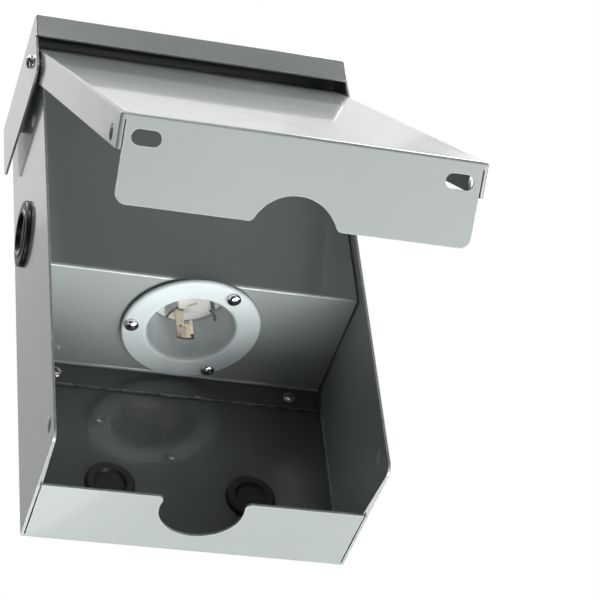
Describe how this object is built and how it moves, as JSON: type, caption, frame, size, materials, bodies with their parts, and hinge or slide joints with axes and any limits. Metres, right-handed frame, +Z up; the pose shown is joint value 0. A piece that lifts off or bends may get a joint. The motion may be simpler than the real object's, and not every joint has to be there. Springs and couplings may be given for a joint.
{
  "type": "generator inlet box",
  "caption": "Outdoor folded sheet-metal inlet box with a fixed hood, a hinged front lid and a recessed locking generator inlet that faces down from a sloping shelf.",
  "frame": {"origin": "middle of the back wall's outer face, 135 mm above the case's bottom edge, at the wall mount", "axes": "+Z up; the lid and the hood's front face -Y; +Y points into the wall; +X to the right as seen from the front"},
  "size_m": [0.1738, 0.2297, 0.2704],
  "materials": {
    "case_paint": "glossy light grey powder coat",
    "hood_paint": "glossy light grey powder coat",
    "lid_paint": "glossy light grey powder coat",
    "bracket_paint": "glossy light grey powder coat",
    "white_nylon": "satin white nylon",
    "ivory_base": "satin ivory moulding",
    "plated_steel": "nickel-plated steel",
    "plated_brass": "plated brass",
    "chrome": "polished chrome plate",
    "zinc_plate": "zinc-plated steel",
    "green_ground": "green-dyed zinc plate",
    "black_plastic": "satin black",
    "black_rubber": "matt black",
    "washer_nylon": "natural nylon",
    "cover_plastic": "matt black moulding"
  },
  "bodies": {
    "case": {"body_shell": "case_paint", "top_hood": "hood_paint", "inlet_bracket": "bracket_paint", "inlet_housing": "white_nylon", "inlet_base": "ivory_base", "blade_ground": "plated_steel", "cover_screw_1": "plated_steel", "cover_screw_2": "plated_steel", "pivot_screw_left": "plated_steel", "pivot_screw_right": "plated_steel", "pivot_nut_left": "plated_steel", "pivot_nut_right": "plated_steel", "terminal_screw_1": "plated_steel", "blade_hot": "plated_brass", "blade_neutral": "plated_brass", "terminal_screw_2": "plated_brass", "terminal_screw_3": "plated_brass", "ring_screw_1": "chrome", "ring_screw_2": "chrome", "ring_screw_3": "chrome", "bracket_screw_left": "zinc_plate", "bracket_screw_right": "zinc_plate", "ground_screw": "green_ground", "side_plug": "black_plastic", "inlet_gasket": "black_rubber", "back_plug_left": "black_rubber", "back_plug_right": "black_rubber", "pivot_washer_left": "washer_nylon", "pivot_washer_right": "washer_nylon", "inlet_rear_cover": "cover_plastic"},
    "lid": {"lid": "lid_paint"}
  },
  "joints": [
    {"name": "lid_hinge", "type": "hinge", "parent": "case", "child": "lid", "pos_m": [0, -0.072, 0.1135], "axis": [-1, 0, 0], "range_deg": [-37.5, 34.5]}
  ]
}
